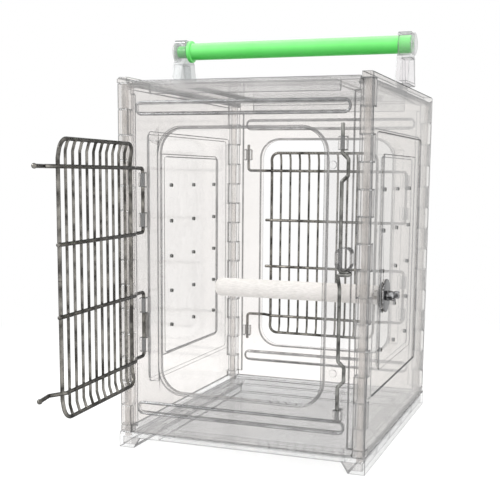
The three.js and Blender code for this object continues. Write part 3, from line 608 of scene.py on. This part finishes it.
# ======================= clear mouldings =======================
WARM = (0.950, 0.937, 0.927)
COLUMN_TINT = (0.870, 0.856, 0.843)
EDGE_GREY = (0.42, 0.415, 0.41)
# One clear plastic throughout: the tints differ from piece to piece as painted light and shade, matched to
# how bright each piece looks, as the two handle posts show.
WALL_TINTS_AND_SHADE = {
    "base_tray": (0.992, 0.992, 0.992), "front_panel": (0.915, 0.910, 0.907), "back_panel": WARM,
    "left_panel": WARM, "right_panel": (0.875, 0.863, 0.850), "roof_panel": (0.885, 0.885, 0.885),
    "handle_post_left": (0.80, 0.81, 0.81), "handle_post_right": (0.93, 0.922, 0.925),
}


BEAD_LENGTH = 110.8       # half the straight length of a bead
BEAD_RADIUS = 6.2
BEAD_FACE = 164.7
BEAD_RIM = 1.25
BEAD_HEIGHTS = (47.5, 372.0)


def beads(material):
    """Rounded shoulders of the pill shaped stiffening beads on the front and back panels, drawn as grey
    rims in painted shade.
    """
    for side, sign in (("front", -1), ("back", 1)):
        mesh = bmesh.new()
        for middle in BEAD_HEIGHTS:
            line = []
            for end in (1, -1):
                for k in range(13):
                    angle = math.radians(-90 + 15 * k) + (0 if end > 0 else math.pi)
                    line.append(Vector((end * BEAD_LENGTH + BEAD_RADIUS * math.cos(angle),
                                        sign * BEAD_FACE,
                                        middle + BEAD_RADIUS * math.sin(angle))) * MM)
            round_wire(mesh, [*line, line[0]], BEAD_RIM * MM, 12, False)
        finish_mesh(mesh, side + "_panel_bead_rims", [material], "carrier_body", [])


def clear_pieces():
    edge = clear_edge("clear_edge", EDGE_GREY, 0.22)
    column = clear_column("clear_column", COLUMN_TINT)
    base_side = clear_wall("clear_base_side", (0.935, 0.935, 0.935), 0.12)
    # Level joints between knuckles: a light tone and strong gloss, a painted highlight.
    joint = clear_edge("clear_joint_highlight", (0.9, 0.9, 0.9), 0.6)
    # Vent hole walls in near black: painted shade of the holes seen through the panel.
    vent = clear_edge("clear_vent_shade", (0.10, 0.10, 0.09), 0.08)
    post_edge = clear_edge("clear_post_edge", (0.72, 0.72, 0.72), 0.25)
    for node in (*CLEAR_WALLS, *CLEAR_SMALL):
        wall = clear_wall("clear_" + node, WALL_TINTS_AND_SHADE[node])
        if node in CLEAR_WALLS:
            moulded(node, [wall, edge, column, joint, vent, base_side], True)
        else:
            moulded(node, [wall, post_edge], False)
    # Grey bead rims: painted shade standing in for refraction at the bead shoulders.
    beads(clear_edge("clear_bead", (0.80, 0.80, 0.80), 0.2))
    rod_face = clear_wall("clear_rod", COLUMN_TINT, 0.15, 0.8)
    for corner in CORNERS:
        node = "corner_rod_" + corner
        low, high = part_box(node)
        radius = (high.x - low.x) / 2
        chamfer = 0.6 * MM
        centre = (low + high) / 2
        profile = [(0, low.z), (radius - chamfer, low.z), (radius, low.z + chamfer),
                   (radius, high.z - chamfer), (radius - chamfer, high.z), (0, high.z)]
        mesh = bmesh.new()
        turned_solid(mesh, profile, Matrix.Translation((centre.x, centre.y, 0)), 32)
        finish_mesh(mesh, node + "_turned", [rod_face], "carrier_body", [node])


# ======================= doors and bolt =======================
def door_point(s, inset, z):
    return Vector((s, inset, z)) * MM


def door_ring():
    middle = (RING_TOP + RING_BOTTOM) / 2
    halves = []
    for end, sign in ((RING_TOP, 1), (RING_BOTTOM, -1)):
        halves.append([
            door_point(RING_NEAR, BAR_INSET, middle - sign * HALF_GAP),
            door_point(RING_NEAR, BAR_INSET, end - sign * RING_SHOULDER),
            door_point(RING_NEAR, BAR_INSET + DISH, end),
            door_point(RING_FAR, BAR_INSET + DISH, end),
            door_point(RING_FAR, BAR_INSET, end - sign * RING_SHOULDER),
            door_point(RING_FAR, BAR_INSET, middle - sign * HALF_GAP),
        ])
    return halves


def cross_wire(long_z, short_z, ending):
    """A long cross wire, the upright hinge length and a short cross wire, bent from one wire."""
    return [
        *ending,
        door_point(RING_FAR + CRANK_END, -CRANK_OUT, long_z),
        door_point(RING_FAR - CROSS_LEAD, CROSS_INSET, long_z),
        door_point(RING_NEAR - CROSS_LEAD, CROSS_INSET, long_z),
        door_point(RING_NEAR - CRANK_START, 0, long_z),
        door_point(0, 0, long_z),
        door_point(0, 0, short_z),
        door_point(RING_NEAR - CRANK_START, 0, short_z),
        door_point(RING_NEAR - CROSS_LEAD, CROSS_INSET, short_z),
        door_point(RING_FAR + CROSS_OVERHANG, CROSS_INSET, short_z),
    ]


def wire_door(name, body, place, endings, balls, metal):
    """A welded wire door: ring, upright bars, two bent cross wires and weld spots."""
    pieces = {}
    mesh = bmesh.new()
    for half in door_ring():
        round_wire(mesh, [place @ p for p in bent_line(half, RING_BEND * MM)], WIRE * MM, 16, False)
    pieces["ring"] = mesh
    mesh = bmesh.new()
    for index in range(1, BAR_COUNT - 1):
        s = RING_NEAR + BAR_PITCH * index
        corners = [
            door_point(s, BAR_INSET + DISH, RING_BOTTOM),
            door_point(s, BAR_INSET, RING_BOTTOM + DISH_LENGTH),
            door_point(s, BAR_INSET, RING_TOP - DISH_LENGTH),
            door_point(s, BAR_INSET + DISH, RING_TOP),
        ]
        line = [place @ p for p in bent_line(corners, BAR_BEND * MM)]
        round_wire(mesh, line, BAR_WIRE * MM, 12, False)
    pieces["bars"] = mesh
    mesh = bmesh.new()
    for (long_z, short_z), ending in zip(((0, 1), (3, 2)), endings):
        corners = cross_wire(CROSS_Z[long_z], CROSS_Z[short_z], ending)
        line = [place @ p for p in bent_line(corners, HAIRPIN * MM)]
        round_wire(mesh, line, WIRE * MM, 16)
    for ball in balls:
        blob(mesh, ball, TIP_BALL * MM, place)
    pieces["cross_wires"] = mesh
    mesh = bmesh.new()
    for index in range(BAR_COUNT):
        s = RING_NEAR + BAR_PITCH * index
        for z in CROSS_Z:
            centre = door_point(s, (BAR_INSET + CROSS_INSET) / 2, z)
            blob(mesh, centre, WELD_SIZE * MM, place, WELD_SQUASH)
        if 0 < index < BAR_COUNT - 1:
            for z, sign in ((RING_TOP, 1), (RING_BOTTOM, -1)):
                spot = door_point(s, BAR_INSET + DISH, z - sign * RING_WELD_INSET)
                blob(mesh, spot, RING_WELD_SIZE * MM, place)
    pieces["welds"] = mesh
    for part, mesh in pieces.items():
        stands_for = [name] if part == "ring" else []
        finish_mesh(mesh, f"{name}_{part}", [metal], body, stands_for)


def doors(metal):
    axis = Vector(RECORD_JOINTS["front_door_hinge"]["pos_m"])
    closed = Matrix.Translation((axis.x, axis.y, 0))
    opened = closed @ Matrix.Rotation(math.radians(-FRONT_OPEN), 4, "Z")
    tips = [[door_point(TIP_REACH - TIP_BALL, 0, z)] for z in (CROSS_Z[0], CROSS_Z[3])]
    wire_door("front_door", "front_door_body", opened, tips, [tip[0] for tip in tips], metal)
    legs = [
        [door_point(TIP_REACH, 0, LEG_TOP), door_point(TIP_REACH, 0, CROSS_Z[0])],
        [door_point(TIP_REACH, 0, LEG_BOTTOM), door_point(TIP_REACH, 0, CROSS_Z[3])],
    ]
    behind = Matrix.Rotation(math.pi, 4, "Z") @ closed
    wire_door("back_door", "back_door_body", behind, legs, [], metal)


def door_bolt(metal):
    def bolt_point(x, y, z):
        return Vector((BOLT_X + x, BOLT_Y + y, z)) * MM

    def kinked(heights):
        top, outer_top, outer_bottom, bottom = heights
        return [bolt_point(0, 0, top), bolt_point(KINK, 0, outer_top),
                bolt_point(KINK, 0, outer_bottom), bolt_point(0, 0, bottom)]

    corners = [
        bolt_point(0, 0, BOLT_TOP),
        *kinked(UPPER_KINK),
        bolt_point(0, 0, LOOP_TOP),
        bolt_point(LOOP_REACH, 0, LOOP_TOP),
        bolt_point(LOOP_REACH, -LOOP_DEPTH, LOOP_BOTTOM),
        bolt_point(LOOP_SHIFT, -LOOP_DEPTH, LOOP_BOTTOM),
        bolt_point(0, 0, LOOP_RETURN),
        *kinked(LOWER_KINK),
        bolt_point(0, 0, BOLT_FOOT),
    ]
    mesh = bmesh.new()
    round_wire(mesh, bent_line(corners, LOOP_DEPTH * MM / 2), WIRE * MM, 16)
    finish_mesh(mesh, "front_door_bolt_wire", [metal], "front_bolt_body",
                ["front_door_bolt"])


# ======================= handle =======================
def handle(green, clear, edge):
    low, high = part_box("handle_grip")
    axis_z = (low.z + high.z) / 2
    collar = (high.z - low.z) / 2
    collar_end = -POST_FACE + COLLAR_WIDTH
    soft = TUBE_EDGE
    profile = [
        (TUBE_BORE, low.x), (SPIGOT_RADIUS - soft, low.x), (SPIGOT_RADIUS, low.x + soft),
        (SPIGOT_RADIUS, -POST_FACE), (collar - soft, -POST_FACE),
        *rounded_corner(collar - soft, -POST_FACE + soft, 90, soft, -90),
        *rounded_corner(collar - soft, collar_end - soft, 90, soft, 0),
        (TUBE_RADIUS + soft, collar_end),
        *rounded_corner(TUBE_RADIUS + soft, collar_end + soft, -90, soft, 270),
        (TUBE_RADIUS, POST_FACE - TUBE_STEP), (TUBE_RADIUS, high.x - soft),
        (TUBE_RADIUS - soft, high.x), (TUBE_BORE, high.x),
    ]
    mesh = bmesh.new()
    turned_solid(mesh, profile, along_x(0, 0, axis_z), 72)
    finish_mesh(mesh, "handle_grip_tube", [green], "carrier_body", ["handle_grip"])
    facing_right = along_x(0, 0, axis_z)
    facing_left = Matrix.Rotation(math.pi, 4, "Z") @ facing_right
    for side, place in (("right", facing_right), ("left", facing_left)):
        node = "handle_cap_" + side
        low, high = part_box(node)
        radius = (high.z - low.z) / 2
        outer = max(abs(low.x), abs(high.x))
        face = outer - CAP_THICK
        peg_end = min(abs(low.x), abs(high.x))
        dome = [(radius * math.cos(math.radians(a)) if a < 90 else 0,
                 outer - CAP_DOME + CAP_DOME * math.sin(math.radians(a))) for a in range(0, 91, 10)]
        profile = [
            (0, peg_end), (PEG_RADIUS - soft, peg_end), (PEG_RADIUS, peg_end + soft),
            (PEG_RADIUS, face), (radius - CAP_CHAMFER, face), (radius, face + CAP_CHAMFER), *dome,
        ]
        mesh = bmesh.new()
        turned_solid(mesh, profile, place, 64)
        finish_mesh(mesh, node + "_disc", [clear, edge], "carrier_body", [node])


# ======================= perch and fastening =======================
def perch_and_fastening(white, metal):
    low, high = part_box("perch")
    centre = (low + high) / 2
    radius = (high.z - low.z) / 2
    bore_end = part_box("perch_stud")[0].x - STUD_CLEARANCE
    profile = [
        (0, low.x),
        *rounded_corner(radius - PERCH_NOSE, low.x + PERCH_NOSE, 90, PERCH_NOSE, -90, 10),
        *rounded_corner(radius - PERCH_RIM, high.x - PERCH_RIM, 90, PERCH_RIM, 0),
        (STUD_BORE, high.x), (STUD_BORE, bore_end), (0, bore_end),
    ]
    mesh = bmesh.new()
    turned_solid(mesh, profile, along_x(0, centre.y, centre.z), 64)
    finish_mesh(mesh, "perch_rod", [white], "carrier_body", ["perch"])
    for node in ("perch_washer_inner", "perch_washer_outer"):
        low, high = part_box(node)
        outer = (high.z - low.z) / 2
        soft = WASHER_EDGE
        profile = [
            (STUD_BORE, low.x), *rounded_corner(outer - soft, low.x + soft, 90, soft, -90, 3),
            *rounded_corner(outer - soft, high.x - soft, 90, soft, 0, 3), (STUD_BORE, high.x),
        ]
        mesh = bmesh.new()
        turned_solid(mesh, profile, along_x(0, centre.y, centre.z), 64)
        finish_mesh(mesh, node + "_disc", [metal], "carrier_body", [node])
    threaded_stud(centre, metal)
    wing_nut(centre, metal)


def threaded_stud(centre, metal):
    """Stud with a real helical thread on its outer length."""
    low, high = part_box("perch_stud")
    crest = (high.z - low.z) / 2
    root = crest - THREAD_DEPTH
    sides = THREAD_SIDES
    plain_end = high.x - THREAD_LENGTH
    mesh = bmesh.new()
    place = along_x(0, centre.y, centre.z)
    rows = [(low.x, crest - 0.5 * MM), (low.x + 0.5 * MM, crest), (plain_end, crest)]
    rings = [[(r, x) for _ in range(sides)] for x, r in rows]
    step = THREAD_PITCH / THREAD_ROWS
    count = int((high.x - plain_end - 0.6 * MM) / step)
    for k in range(1, count):
        ring = []
        for i in range(sides):
            phase = (k / THREAD_ROWS + i / sides) % 1.0
            ring.append((root + (crest - root) * (1 - abs(2 * phase - 1)), plain_end + k * step))
        rings.append(ring)
    rings.append([(root, high.x - 0.4 * MM)] * sides)
    rings.append([(root - 0.6 * MM, high.x)] * sides)
    verts = [[mesh.verts.new(place @ Vector((r * math.cos(2 * math.pi * i / sides),
                                             r * math.sin(2 * math.pi * i / sides), x)))
              for i, (r, x) in enumerate(ring)] for ring in rings]
    for first, second in zip(verts, verts[1:]):
        for i in range(sides):
            j = (i + 1) % sides
            mesh.faces.new((first[i], first[j], second[j], second[i]))
    mesh.faces.new(verts[0])
    mesh.faces.new(verts[-1])
    finish_mesh(mesh, "perch_stud_threaded", [metal], "carrier_body", ["perch_stud"])


def wing_nut(centre, metal):
    """Wing nut: a conical hub and two flared wings with rounded sections."""
    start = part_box("perch_wing_nut")[0].x
    end = start + HUB_LENGTH
    neck = HUB_RADIUS - HUB_TAPER
    place = Matrix.Translation((0, centre.y, centre.z))
    place = place @ Matrix.Rotation(math.radians(WING_TILT), 4, "X")
    mesh = bmesh.new()
    profile = [
        (STUD_BORE, start), (HUB_RADIUS - HUB_EDGE, start), (HUB_RADIUS, start + HUB_EDGE),
        (neck, end - HUB_EDGE), (neck - HUB_EDGE, end), (STUD_BORE, end),
    ]
    turned_solid(mesh, profile, place @ along_x(0, 0, 0), 40)
    for side in (-1, 1):
        rows = []
        for x, y, half in WING_SPINE:
            row = []
            for k in range(WING_SIDES):
                angle = 2 * math.pi * k / WING_SIDES
                row.append(mesh.verts.new(place @ Vector((
                    start + x * MM + half * MM * math.cos(angle) * 0.55,
                    side * (y * MM - half * MM * math.cos(angle) * 0.45),
                    WING_HALF_THICK * math.sin(angle)))))
            rows.append(row)
        for first, second in zip(rows, rows[1:]):
            for i in range(WING_SIDES):
                j = (i + 1) % WING_SIDES
                mesh.faces.new((first[i], first[j], second[j], second[i]))
        mesh.faces.new(rows[0][::-1])
        mesh.faces.new(rows[-1])
    finish_mesh(mesh, "perch_wing_nut_cast", [metal], "wing_nut_body",
                ["perch_wing_nut"])


# ======================= studio =======================
SOFTBOXES = (               # name, place, size, watts
    ("softbox_left", (-1.6, -1.5, 1.7), 1.3, 26.0),
    ("softbox_right", (1.7, -1.1, 1.2), 1.1, 12.0),
    ("softbox_top", (0.1, 0.5, 2.2), 1.6, 22.0))
SOFTBOX_AIM = Vector((0, 0, 0.2))
# Height on the surrounding sphere, 0 below to 1 above, and the grey tone there.
SKY_STOPS = ((0.0, 0.80), (0.40, 0.90), (0.52, 0.97), (0.72, 1.0), (1.0, 1.0))


def studio():
    bpy.ops.mesh.primitive_plane_add(size=8, location=(0, 0, 0))
    floor = bpy.context.object
    floor.name = "studio_floor"
    floor.visible_glossy = False
    floor.data.materials.append(pale_floor())

    world = bpy.data.worlds.new("studio_world")
    bpy.context.scene.world = world
    world.use_nodes = True
    nodes = world.node_tree.nodes
    links = world.node_tree.links
    nodes.clear()
    path = nodes.new("ShaderNodeLightPath")
    place = nodes.new("ShaderNodeTexCoord")
    split = nodes.new("ShaderNodeSeparateXYZ")
    links.new(place.outputs["Generated"], split.inputs[0])
    ramp = nodes.new("ShaderNodeValToRGB")
    remap = nodes.new("ShaderNodeMapRange")
    remap.inputs["From Min"].default_value = -1.0
    links.new(split.outputs["Z"], remap.inputs["Value"])
    links.new(remap.outputs[0], ramp.inputs[0])
    while len(ramp.color_ramp.elements) < len(SKY_STOPS):
        ramp.color_ramp.elements.new(0.5)
    for element, (place_on_ramp, grey) in zip(ramp.color_ramp.elements, SKY_STOPS):
        element.position = place_on_ramp
        element.color = (grey, grey, grey, 1)
    bands = nodes.new("ShaderNodeTexWave")
    bands.wave_type = "BANDS"
    bands.bands_direction = "X"
    bands.inputs["Scale"].default_value = 0.45
    links.new(place.outputs["Generated"], bands.inputs["Vector"])
    band_level = nodes.new("ShaderNodeMapRange")
    band_level.inputs["To Min"].default_value = 0.72
    band_level.inputs["To Max"].default_value = 1.15
    links.new(bands.outputs["Fac"], band_level.inputs["Value"])
    product = nodes.new("ShaderNodeMix")
    product.data_type = "RGBA"
    product.blend_type = "MULTIPLY"
    product.inputs[0].default_value = 1.0
    links.new(ramp.outputs[0], product.inputs[6])
    links.new(band_level.outputs[0], product.inputs[7])
    seen = nodes.new("ShaderNodeBackground")
    seen.inputs["Color"].default_value = (1, 1, 1, 1)
    light = nodes.new("ShaderNodeBackground")
    links.new(product.outputs[2], light.inputs["Color"])
    light.inputs["Strength"].default_value = 1.0
    choose = nodes.new("ShaderNodeMixShader")
    links.new(path.outputs["Is Camera Ray"], choose.inputs[0])
    links.new(light.outputs[0], choose.inputs[1])
    links.new(seen.outputs[0], choose.inputs[2])
    out = nodes.new("ShaderNodeOutputWorld")
    links.new(choose.outputs[0], out.inputs[0])

    for name, place_at, size, energy in SOFTBOXES:
        lamp = bpy.data.lights.new(name, "AREA")
        lamp.size = size
        lamp.energy = energy
        holder = bpy.data.objects.new(name, lamp)
        holder.location = place_at
        holder.visible_glossy = name == "softbox_left"
        aim = SOFTBOX_AIM - Vector(place_at)
        holder.rotation_euler = aim.to_track_quat("-Z", "Y").to_euler()
        bpy.context.scene.collection.objects.link(holder)

    scene = bpy.context.scene
    scene.view_settings.view_transform = "Standard"
    scene.cycles.transparent_max_bounces = 48
    scene.cycles.max_bounces = 8
    scene.cycles.use_denoising = True


EYE = (0.3536, -1.0619, 0.3045)
YAW = 19.54                 # degrees
PITCH = 8.0
ROLL = 0.66
LENS = 66.9
LENS_SHIFT = (-0.0381, 0.1095)


def camera():
    """Eye a little below the roof, in front and to the right, with a shifted lens."""
    yaw = math.radians(YAW)
    pitch = math.radians(PITCH)
    roll = math.radians(ROLL)
    forward = Vector((
        -math.sin(yaw) * math.cos(pitch), math.cos(yaw) * math.cos(pitch), -math.sin(pitch)))
    level = Vector((math.cos(yaw), math.sin(yaw), 0))
    upward = level.cross(forward)
    right = level * math.cos(roll) + upward * math.sin(roll)
    up = upward * math.cos(roll) - level * math.sin(roll)
    lens = bpy.data.cameras.new("studio_camera")
    lens.sensor_width = 36.0
    lens.lens = LENS
    lens.shift_x, lens.shift_y = LENS_SHIFT
    lens.clip_start = 0.01
    eye = bpy.data.objects.new("studio_camera", lens)
    turn = Matrix((right, up, -forward)).transposed().to_4x4()
    eye.matrix_world = Matrix.Translation(EYE) @ turn
    bpy.context.scene.collection.objects.link(eye)
    bpy.context.scene.camera = eye


# ======================= build =======================
wire_metal = steel("bright_wire", (0.36, 0.345, 0.315), 0.14)
bolt_metal = steel("bolt_wire", (0.36, 0.36, 0.34), 0.24)
hardware_metal = steel("plated_hardware", (0.66, 0.66, 0.67), 0.16, 240)
cap_face = clear_wall("clear_cap", (0.80, 0.80, 0.80), 0.25)
cap_edge = clear_edge("clear_cap_edge", EDGE_GREY, 0.3)

clear_pieces()
doors(wire_metal)
door_bolt(bolt_metal)
handle(green_plastic(), cap_face, cap_edge)
perch_and_fastening(perch_plastic(), hardware_metal)
studio()
camera()
